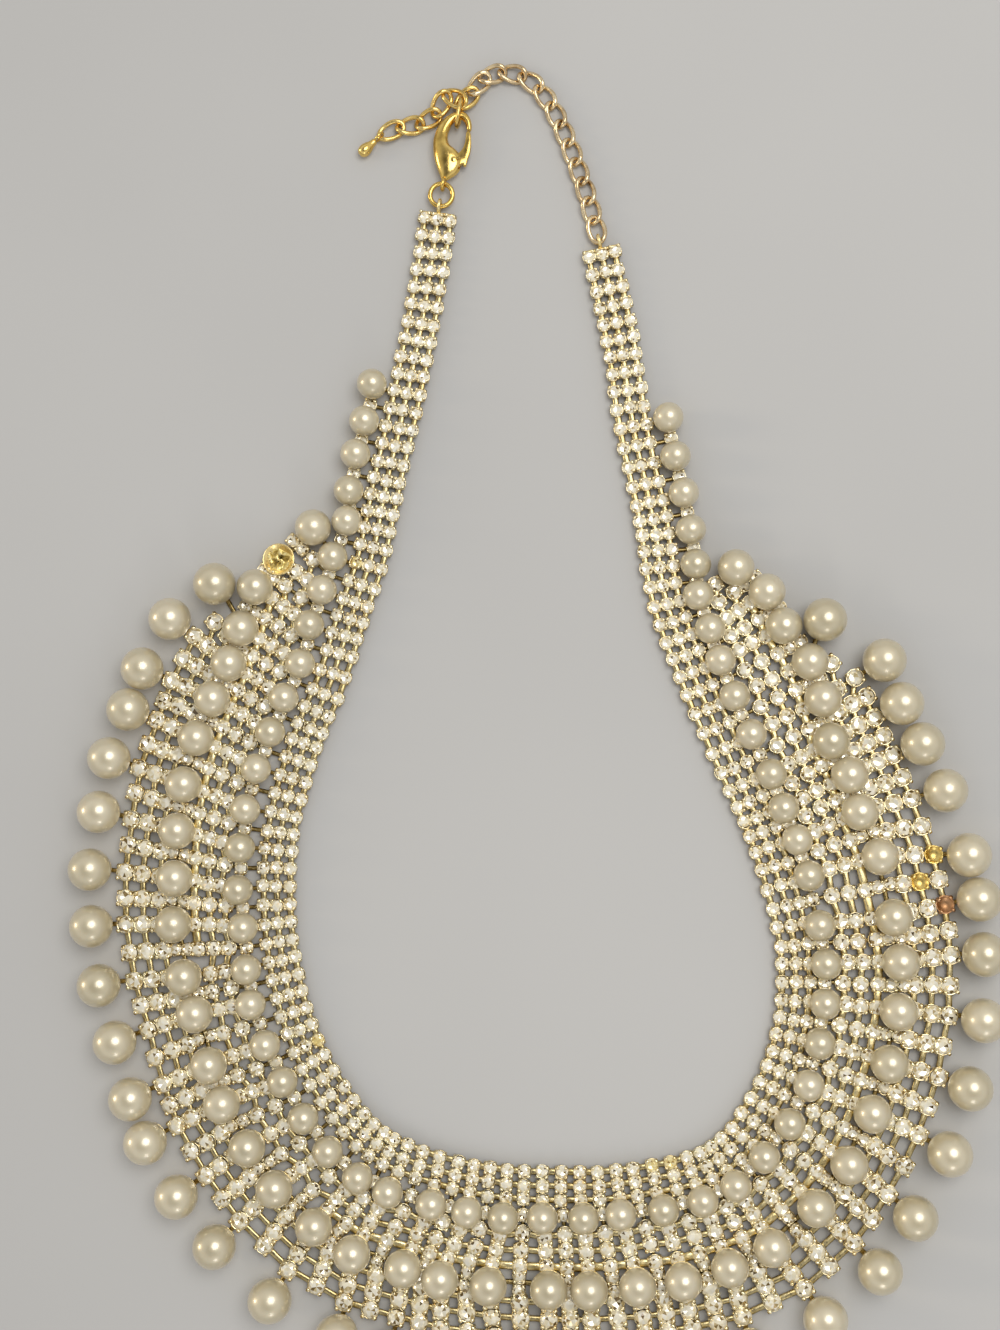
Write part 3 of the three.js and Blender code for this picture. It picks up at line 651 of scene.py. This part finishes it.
# cross wires under each column, from the inner edge to its outermost cup or bowl
for c in range(127):
    k = -5 + c / 2
    col = Column(k)
    even = c % 2 == 0
    edge = col.p - col.out * col.edge
    stop = edge + col.out * 5.6
    if 0 <= k <= 53:
        stop = col.t1
    bar(edge + col.out * .9, stop, .7, .42, .5)
    if 5 <= k <= 48:
        bar(col.t1, col.t2 + (0 if even else 1.2) * col.fan, .7, .42, .5)
    if 8 <= k <= 45:
        reach = col.d23 if even else (.635 * col.d23 if col.d23 >= 11.6 else .5 * col.d23)
        bar(col.t2, col.t2 + col.fan2 * reach, .8, .42, .5)
# runs under the pearls and the cups between them
for n in range(3):
    lo, hi = TIER_SPAN[n]
    steps = np.arange(lo, hi + .01, .5)
    pts = [centre(n, k) for k in steps]
    for a, b in zip(pts[:-1], pts[1:]):
        if n < 2:
            bar(a, b, .8, .42, .5)

# ---------------------------------------------------------------- bowls
def bowl_shape(n):
    R = PEARL_R[n]
    zc = R + LIFT
    inner = R + .04
    rim = (.84, .84, .82)[n] * R
    rs = np.linspace(rim, 0, 6)
    cavity = [(r, zc - math.sqrt(inner ** 2 - r ** 2)) for r in rs]
    z_rim = cavity[0][1]
    profile = [(0, .08), (.42 * R, .08), (.62 * R, z_rim * .34), (.80 * R, z_rim * .78), (rim + .17, z_rim - .02),
               (rim + .13, z_rim + .06), *cavity[:-1], (0, cavity[-1][1])]
    s = Shape()
    v, f = lathe(profile, 26)
    s.add(v, f, smooth=True)
    return s.frozen()


BOWLS = [bowl_shape(n) for n in range(3)]
for n in range(3):
    for k in range(TIER_SPAN[n][0], TIER_SPAN[n][1] + 1):
        at = centre(n, k)
        bowls.put(BOWLS[n], None, (at[0], at[1], 0), tone_and_glint=rng.uniform(0, 1))

# old glue in the empty bowl: a shallow, lumpy dish
glue = Cloud()
at = centre(1, EMPTY)
seg, rings = 28, 9
verts, faces = [], []
bottom = LIFT + .04
for i in range(rings + 1):
    r = 2.0 * i / rings
    for q in range(seg):
        a = 2 * math.pi * q / seg
        wob = 1 + .10 * math.sin(3 * a + 1.0) + .06 * math.sin(5 * a)
        rr = r * wob
        z_bowl = (3 + LIFT) - math.sqrt(3.04 ** 2 - min(rr, 2.4) ** 2)
        lump = .10 * math.sin(4.3 * rr + 2 * a) + .07 * math.sin(3.1 * rr * math.cos(a) + 1.3) * math.cos(4.7 * rr * math.sin(a))
        fill = .34 * (1 - (i / rings) ** 2) + lump * (1 - (i / rings) ** 3)
        verts.append((rr * math.cos(a), rr * math.sin(a), z_bowl + fill + (.03 if i < rings else -.03)))
for i in range(rings):
    for q in range(seg):
        r = (q + 1) % seg
        faces.append([i * seg + q, (i + 1) * seg + q, (i + 1) * seg + r, i * seg + r])
under = len(verts)
for i in (rings, 0):
    for q in range(seg):
        x, y, z = verts[i * seg + q]
        verts.append((x * .98, y * .98, z - .10))
for q in range(seg):
    r = (q + 1) % seg
    faces.append([rings * seg + q, under + q, under + r, rings * seg + r])
    faces.append([under + q, under + seg + q, under + seg + r, under + r])
    faces.append([under + seg + q, q, r, under + seg + r])
s = Shape()
s.add(verts, faces, smooth=True)
glue.put(s.frozen(), None, (at[0], at[1], 0))

# ---------------------------------------------------------------- pearls
def pearl_shape(seg, rings):
    verts, faces = [(0, 0, -1)], []
    for i in range(1, rings):
        a = math.pi * i / rings - math.pi / 2
        for q in range(seg):
            b = 2 * math.pi * q / seg
            verts.append((math.cos(a) * math.cos(b), math.cos(a) * math.sin(b), math.sin(a)))
    verts.append((0, 0, 1))
    for q in range(seg):
        r = (q + 1) % seg
        faces.append([0, 1 + r, 1 + q])
        for i in range(rings - 2):
            a, b = 1 + i * seg, 1 + (i + 1) * seg
            faces.append([a + q, a + r, b + r, b + q])
        a = 1 + (rings - 2) * seg
        faces.append([a + q, a + r, len(verts) - 1])
    s = Shape()
    s.add(verts, faces, smooth=True)
    return s.frozen()


BALL = pearl_shape(32, 20)
RUNS = [("pearls_tier1_left", 0, 0, 21), ("pearls_tier1_bottom", 0, 22, 32), ("pearls_tier1_right", 0, 33, 53),
        ("pearl_tier2_first", 1, 5, 5), ("pearls_tier2_left", 1, 7, 21), ("pearls_tier2_bottom", 1, 22, 32),
        ("pearls_tier2_right", 1, 33, 48), ("pearls_tier3_left", 2, 8, 21), ("pearls_tier3_bottom", 2, 22, 31),
        ("pearls_tier3_right", 2, 32, 45)]
for name, n, lo, hi in RUNS:
    run = Cloud()
    for k in range(lo, hi + 1):
        at = centre(n, k)
        R = PEARL_R[n]
        m = frame_xy(Column(k).fan, np.radians(rng.normal(0, 12, 2)), rng.uniform(0, 6),
                     np.array([1, 1, 1]) * R * rng.normal(1, .004, 3))
        run.put(BALL, m, (at[0], at[1], R + LIFT), tone_and_glint=rng.uniform(0, 1))
    obj = run.mesh(name + "_look", [PEARL])
    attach(obj, "necklace")
    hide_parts(name)

# ---------------------------------------------------------------- loops, links, ring, drop
def rot(heading, pitch, roll):
    h, p, r = (math.radians(q) for q in (heading, pitch, roll))
    rz = np.array([[math.cos(h), -math.sin(h), 0], [math.sin(h), math.cos(h), 0], [0, 0, 1]])
    ry = np.array([[math.cos(p), 0, math.sin(p)], [0, 1, 0], [-math.sin(p), 0, math.cos(p)]])
    rx = np.array([[1, 0, 0], [0, math.cos(r), -math.sin(r)], [0, math.sin(r), math.cos(r)]])
    return rz @ ry @ rx


def link_shape(a, b, wire, twist, around=56, seg=12):
    t = np.arange(around) * 2 * math.pi / around
    path = np.stack([a * np.cos(t), b * np.sin(t), twist * np.sin(2 * t)], 1)
    s = Shape()
    v, f = sweep(path, wire / 2, seg, closed=True)
    s.add(v, f, smooth=True)
    return s.frozen()


def torus_shape(radius, tube, around=40, seg=12, axis="z"):
    t = np.arange(around) * 2 * math.pi / around
    path = np.stack([radius * np.cos(t), radius * np.sin(t), 0 * t], 1)
    v, f = sweep(path, tube, seg, closed=True)
    v = np.array(v)
    if axis == "x":
        v = v[:, [2, 0, 1]]
    elif axis == "y":
        v = v[:, [1, 2, 0]]
    s = Shape()
    s.add(v, f, smooth=True)
    return s.frozen()


loops = Cloud()
ends = {}
for side, k, away in ((0, -5, -1), (1, 58, 1)):
    col = Column(k)
    c = col.p + col.out * (-col.edge + 3.3) + col.along * away * 2.3
    ends[side] = c
    ring = torus_shape(.95, .30, axis="y")
    a = math.degrees(math.atan2(col.along[1], col.along[0]))
    loops.put(ring, rot(a, 0, 0), (c[0], c[1], 1.3))
    # soldered bridge behind the last column of cups, with a lug to the ring
    s = Shape()
    base = col.p + col.along * away * .95
    lo, hi = base + col.out * (-col.edge + .5), base + col.out * (-col.edge + 6.1)
    pts = [(*(lo + (hi - lo) * q), .95) for q in np.linspace(0, 1, 9)]
    v, f = sweep(pts, [(.3, .42)] * 9, 10)
    s.add(v, f, smooth=[True] * (len(f) - 2) + [False] * 2)
    lug = [(*(c - col.along * away * q), .95) for q in (1.9, 1.5, 1.1, .85)]
    v, f = sweep(lug, [(.62, .42), (.55, .42), (.42, .38), (.30, .30)], 10)
    s.add(v, f, smooth=[True] * (len(f) - 2) + [False] * 2)
    loops.put(s.frozen())

CLASP_AT = np.array([-25.75, 99.55, 1.6])
CLASP_TURN = -10.8
ring = Cloud()
mid = (ends[0] + CLASP_AT[:2]) / 2
d = CLASP_AT[:2] - ends[0]
ring.put(link_shape(1.9, 1.9, .8, 0, 64, 16),
         rot(math.degrees(math.atan2(d[1], d[0])), -math.degrees(math.asin(.3 / 3.8)), 0), (mid[0], mid[1], 1.45))
obj = ring.mesh("jump_ring_look", [CLASP_GOLD])
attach(obj, "necklace")
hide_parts("jump_ring")

LINKS = [
    (-0.05, 91.31, 1.12, 104, 4, 0, 0.3), (-0.90, 94.69, 0.95, 104, 1, 0), (-1.85, 98.10, 0.91, 107, 0, 0),
    (-2.95, 101.45, 0.91, 108, 0, 0), (-4.10, 104.80, 0.91, 109, 0, 0), (-5.35, 108.10, 0.91, 111, 0, 0),
    (-6.80, 111.35, 0.91, 115, 0, 0), (-8.61, 114.47, 0.91, 125, 0, 0), (-11.00, 117.14, 0.92, 143, 0, 0),
    (-14.14, 118.64, 0.91, 168, 0, 0), (-17.54, 118.45, 1.00, 198, 0, 1), (-19.81, 116.84, 1.10, 225, 2, 1),
    (-21.82, 114.40, 1.06, 223, -1, -3, 0.3), (-23.02, 111.70, 1.78, 79.2, 0, 90, 0),
    (-23.79, 114.21, 1.99, 146, 13, 1, 0.3), (-26.16, 113.42, 1.44, 237, 16, -6), (-28.36, 111.00, 0.92, 212, 0, -1),
    (-31.45, 110.00, 0.92, 188, 0, 0), (-34.68, 109.20, 0.98, 208, -3, 0, 0.25)]
for i, link in enumerate(LINKS):
    x, y, z, heading, pitch, roll = link[:6]
    twist = link[6] if len(link) > 6 else .56
    shape = link_shape(2.35, 1.45, .72, 0) if i == 13 else link_shape(2.28, 1.33, .78, min(twist, .5))
    turned = rot(heading, pitch, roll)
    low = float(np.min(np.asarray(shape[0]) @ turned[2]))
    piece = Cloud()
    piece.put(shape, turned, (x, y, max(z, .02 - low)))
    obj = piece.mesh(f"chain_link_{i + 1:02d}_look", [TAIL_GOLD if i > 11 else CHAIN_GOLD])
    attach(obj, "necklace")
    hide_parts(f"chain_link_{i + 1:02d}")

drop = Cloud()
m = rot(222, 0, 0)
drop.put(torus_shape(.88, .22, axis="y"), m, (-36.72, 108.1, 1.15))
prof = [(0, .8), (.32, .84), (.50, .95), (.56, 1.2), (.57, 1.5), (.66, 1.9), (.86, 2.35), (1.0, 2.8), (1.05, 3.15),
        (1.04, 3.45), (.97, 3.78), (.83, 4.07), (.62, 4.29), (.34, 4.42), (0, 4.46)]
v, f = lathe(prof, 24)
v = np.array(v)[:, [2, 0, 1]]
s = Shape()
s.add(v, f, smooth=True)
drop.put(s.frozen(), m, (-36.72, 108.1, 1.15))
obj = drop.mesh("end_drop_look", [CLASP_GOLD])
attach(obj, "necklace")
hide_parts("end_drop")

# ---------------------------------------------------------------- clasp
def catmull(points, per, closed=False):
    P = np.asarray(points, float)
    n = len(P)
    out = []
    for i in range(n if closed else n - 1):
        p0 = P[(i - 1) % n] if closed or i > 0 else 2 * P[0] - P[1]
        p1, p2 = P[i], P[(i + 1) % n]
        p3 = P[(i + 2) % n] if closed or i + 2 < n else 2 * P[-1] - P[-2]
        for q in range(per):
            t = q / per
            out.append(.5 * ((2 * p1) + (-p0 + p2) * t + (2 * p0 - 5 * p1 + 4 * p2 - p3) * t * t
                             + (-p0 + 3 * p1 - 3 * p2 + p3) * t ** 3))
    if not closed:
        out.append(P[-1])
    return np.array(out)


# sections of the body from the eye to the hook's tip: left x, y, right x, y, half thickness
BODY = [
    (-.50, .72, .50, .72, .45), (-.85, 1.4, 1.15, 1.3, .72), (-1.5, 2.4, 1.95, 2.1, 1.0), (-2.1, 3.5, 2.5, 3.4, 1.2),
    (-2.55, 4.6, 2.35, 4.8, 1.28), (-2.9, 5.9, 1.4, 5.85, 1.25), (-3.08, 7.0, -.15, 6.75, 1.12),
    (-2.98, 8.3, -.78, 8.1, .98), (-2.68, 9.6, -.68, 9.5, .86), (-2.1, 10.8, -.42, 10.4, .78),
    (-1.2, 11.85, .0, 11.1, .72), (-.25, 12.5, .45, 11.4, .68), (.75, 12.78, .9, 11.42, .64),
    (1.65, 12.5, 1.25, 11.25, .60), (2.35, 11.8, 1.6, 10.95, .56), (2.78, 10.9, 1.9, 10.4, .52),
    (2.93, 10.1, 2.12, 9.9, .46), (2.85, 9.68, 2.25, 9.66, .34)]


def clasp_body():
    rows = catmull(BODY, 4)
    seg = 18
    verts, faces = [], []
    for lx, ly, rx, ry, h in rows:
        cx, cy = (lx + rx) / 2, (ly + ry) / 2
        ux, uy = (rx - lx) / 2, (ry - ly) / 2
        for q in range(seg):
            a = 2 * math.pi * q / seg
            ca, sa = math.cos(a), math.sin(a)
            g = (abs(ca) ** 2.4 + abs(sa) ** 2.4) ** (-1 / 2.4)
            verts.append((cx + ux * ca * g, cy + uy * ca * g, h * sa * g))
    n = len(rows)
    for i in range(n - 1):
        for q in range(seg):
            r = (q + 1) % seg
            faces.append([i * seg + q, i * seg + r, (i + 1) * seg + r, (i + 1) * seg + q])
    faces.append([q for q in range(seg)][::-1])
    faces.append([(n - 1) * seg + q for q in range(seg)])
    return verts, [f[::-1] for f in faces]


def slab(outline, half, edge, steps=3):
    """A flat shape with rounded edges; the outline runs counter-clockwise or clockwise."""
    P = np.asarray(outline, float)
    area = .5 * np.sum(P[:, 0] * np.roll(P[:, 1], -1) - np.roll(P[:, 0], -1) * P[:, 1])
    if area < 0:
        P = P[::-1]
    t = np.roll(P, -1, 0) - np.roll(P, 1, 0)
    t /= np.linalg.norm(t, axis=1)[:, None]
    inward = np.stack([-t[:, 1], t[:, 0]], 1)
    rows = []
    for q in range(steps + 1):
        a = math.pi / 2 * (1 - q / steps)
        rows.append((edge * (1 - math.cos(a)), -(half - edge + edge * math.sin(a))))
    rows += [(i, -z) for i, z in rows[::-1]]
    n = len(P)
    verts, faces = [], []
    for inset, z in rows:
        for p in P + inward * inset:
            verts.append((p[0], p[1], z))
    for i in range(len(rows) - 1):
        for q in range(n):
            r = (q + 1) % n
            faces.append([i * n + q, i * n + r, (i + 1) * n + r, (i + 1) * n + q])
    smooth = [True] * len(faces)
    faces.append([q for q in range(n)][::-1])
    faces.append([(len(rows) - 1) * n + q for q in range(n)])
    return verts, faces, smooth + [False, False]


def to_object(name, verts, faces, material, smooth=True):
    me = bpy.data.meshes.new(name)
    me.from_pydata([tuple(v) for v in verts], [], faces)
    me.materials.append(material)
    me.update()
    bm = bmesh.new()
    bm.from_mesh(me)
    bmesh.ops.recalc_face_normals(bm, faces=bm.faces)
    bm.to_mesh(me)
    bm.free()
    me.polygons.foreach_set("use_smooth", np.full(len(me.polygons), smooth))
    obj = bpy.data.objects.new(name, me)
    bpy.context.scene.collection.objects.link(obj)
    return obj


turn = rot(CLASP_TURN, 0, 0)
clasp_matrix = Matrix.Identity(4)
for r in range(3):
    for q in range(3):
        clasp_matrix[r][q] = turn[r, q] * MM
    clasp_matrix[r][3] = (CLASP_AT + SHIFT)[r] * MM

body = to_object("clasp_body_look", *clasp_body(), CLASP_GOLD)
# the slot for the lever, cut right through the open side
x0, x1, y0, y1, hz = .45, 4.4, 2.8, 7.2, .70
box_v = [(x, y, z) for z in (-hz, hz) for y in (y0, y1) for x in (x0, x1)]
box_f = [[0, 2, 3, 1], [4, 5, 7, 6], [0, 1, 5, 4], [2, 6, 7, 3], [0, 4, 6, 2], [1, 3, 7, 5]]
cutter = to_object("cutter", box_v, box_f, CLASP_GOLD, False)
mod = body.modifiers.new("slot", "BOOLEAN")
mod.operation = "DIFFERENCE"
mod.solver = "EXACT"
mod.object = cutter
bpy.context.view_layer.update()
cut = bpy.data.meshes.new_from_object(body.evaluated_get(bpy.context.evaluated_depsgraph_get()))
body.modifiers.clear()
body.data = cut
bpy.data.objects.remove(cutter)
eye = torus_shape(.95, .32, axis="x", around=40, seg=12)
parts = Cloud()
parts.put(eye)
rivet = Shape()
for side in (-1, 1):
    z = 1.16
    prof = [(0, -z - .16), (.30, -z - .13), (.50, -z - .05), (.56, -z + .12), (.5, -z + .3), (0, -z + .3)]
    v, f = lathe(prof, 20)
    v = np.array(v)
    if side > 0:
        v = v * [1, -1, -1]
    rivet.add(v + [1.0, 4.1, 0], f, smooth=True)
pin_v, pin_f = lathe([(0, -1.1), (.35, -1.1), (.35, 1.1), (0, 1.1)], 16)
rivet.add(np.array(pin_v) + [1.7, 4.4, 0], pin_f, smooth=[False if len(q) == 3 else True for q in pin_f])
parts.put(rivet.frozen())
extra_obj = parts.mesh("clasp_details", [CLASP_GOLD], shift=False)
extra_obj.data.transform(Matrix.Scale(1000, 4))
bm = bmesh.new()
bm.from_mesh(body.data)
bm.from_mesh(extra_obj.data)
bm.to_mesh(body.data)
bm.free()
bpy.data.objects.remove(extra_obj)
body.data.transform(clasp_matrix)
body.data.polygons.foreach_set("use_smooth", np.ones(len(body.data.polygons), bool))
body.data.set_sharp_from_angle(angle=math.radians(38))
body.data.materials.clear()
body.data.materials.append(CLASP_GOLD)
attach(body, "necklace")
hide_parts("clasp_body")

LEVER = [(2.2, 9.3), (2.85, 9.35), (3.2, 8.2), (3.42, 6.9), (3.46, 5.9), (3.3, 4.8), (3.22, 3.75), (2.9, 3.55),
         (2.4, 3.7), (1.9, 3.42), (1.2, 3.58), (.84, 4.2), (1.0, 5.0), (1.6, 5.6), (2.1, 6.4), (2.3, 7.6)]
v, f, smooth = slab(catmull(LEVER, 5, closed=True), .5, .18)
lever = to_object("clasp_lever_look", v, f, CLASP_GOLD)
lever.data.transform(clasp_matrix)
lever.data.set_sharp_from_angle(angle=math.radians(40))
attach(lever, "lever")
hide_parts("clasp_lever")

# ---------------------------------------------------------------- the mesh's pieces
mesh_pieces = []
for zone in ("inner", "middle", "outer"):
    mesh_pieces.append(metal[zone].mesh(f"cups_{zone}", [CUP, COPPER, DEEP_CUP]))
    mesh_pieces.append(stones[zone].mesh(f"stones_{zone}", [CRYSTAL, AMBER]))
mesh_pieces.append(bars.mesh("link_bars", [BAR]))
mesh_pieces.append(bowls.mesh("pearl_bowls", [BOWL]))
mesh_pieces.append(loops.mesh("strap_end_loops", [BOWL]))
mesh_pieces.append(glue.mesh("old_glue", [GLUE]))
for obj in mesh_pieces:
    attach(obj, "necklace")
    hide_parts("rhinestone_mesh")

# ---------------------------------------------------------------- floor, light, camera
def floor_material():
    m, nt, bsdf = new_material("studio_floor")
    cloud = noise(nt, 6, 3, 0.5)
    nt.links.new(ramp(nt, [(0.35, (0.475, 0.471, 0.464)), (0.65, (0.51, 0.506, 0.498))], cloud),
                 bsdf.inputs["Base Color"])
    bsdf.inputs["Roughness"].default_value = 0.8
    return m


floor = to_object("studio_floor_plane", [(-3, -3, 0), (3, -3, 0), (3, 3, 0), (-3, 3, 0)], [[0, 1, 2, 3]],
                  floor_material(), False)
floor.location.z = -.00002

world = bpy.data.worlds.new("studio")
bpy.context.scene.world = world
world.use_nodes = True
wnt = world.node_tree
background = wnt.nodes["Background"]
tc = wnt.nodes.new("ShaderNodeTexCoord")
sep = wnt.nodes.new("ShaderNodeSeparateXYZ")
wnt.links.new(tc.outputs["Generated"], sep.inputs[0])
wnt.links.new(ramp(wnt, [(0.0, (0.52, 0.51, 0.50)), (0.18, (0.70, 0.69, 0.67)), (0.45, (1.25, 1.24, 1.22)),
                   (0.78, (1.0, 1.0, 1.0)), (0.92, (0.28, 0.28, 0.29)), (1.0, (0.16, 0.16, 0.17))],
                   sep.outputs["Z"]), background.inputs["Color"])
background.inputs["Strength"].default_value = 0.6


def area(name, at, size, power, colour):
    light = bpy.data.lights.new(name, "AREA")
    light.shape = "DISK"
    light.size = size
    light.energy = power
    light.color = colour
    obj = bpy.data.objects.new(name, light)
    obj.location = at
    obj.rotation_euler = (Vector((.011, -.011, 0)) - Vector(at)).to_track_quat("-Z", "Y").to_euler()
    bpy.context.scene.collection.objects.link(obj)


area("key", (.15, .13, .56), .42, 1.95, (1.0, .985, .95))
area("front", (.10, -.55, .30), .16, .22, (1.0, .97, .92))

side = bpy.data.lights.new("side", "SUN")
side.energy = .52
side.angle = .25
side.color = (1.0, .84, .60)
lamp = bpy.data.objects.new("side", side)
lamp.rotation_euler = Vector((.611, -.061, -.20)).to_track_quat("-Z", "Y").to_euler()
bpy.context.scene.collection.objects.link(lamp)

camera = bpy.data.cameras.new("camera")
camera.sensor_width = 36
camera.sensor_fit = "AUTO"
camera.lens = 43.31
camera.clip_start = .01
camera.clip_end = 10
cam = bpy.data.objects.new("camera", camera)
right = Vector((.99809, 0, -.0617)).normalized()
back = Vector((.0616, -.0700, .9956)).normalized()
up = back.cross(right).normalized()
right = up.cross(back).normalized()
cam.matrix_world = Matrix(((right.x, up.x, back.x, .011135), (right.y, up.y, back.y, -.011348),
                           (right.z, up.z, back.z, .26336), (0, 0, 0, 1)))
bpy.context.scene.collection.objects.link(cam)
bpy.context.scene.camera = cam

bpy.context.scene.view_settings.view_transform = "Standard"
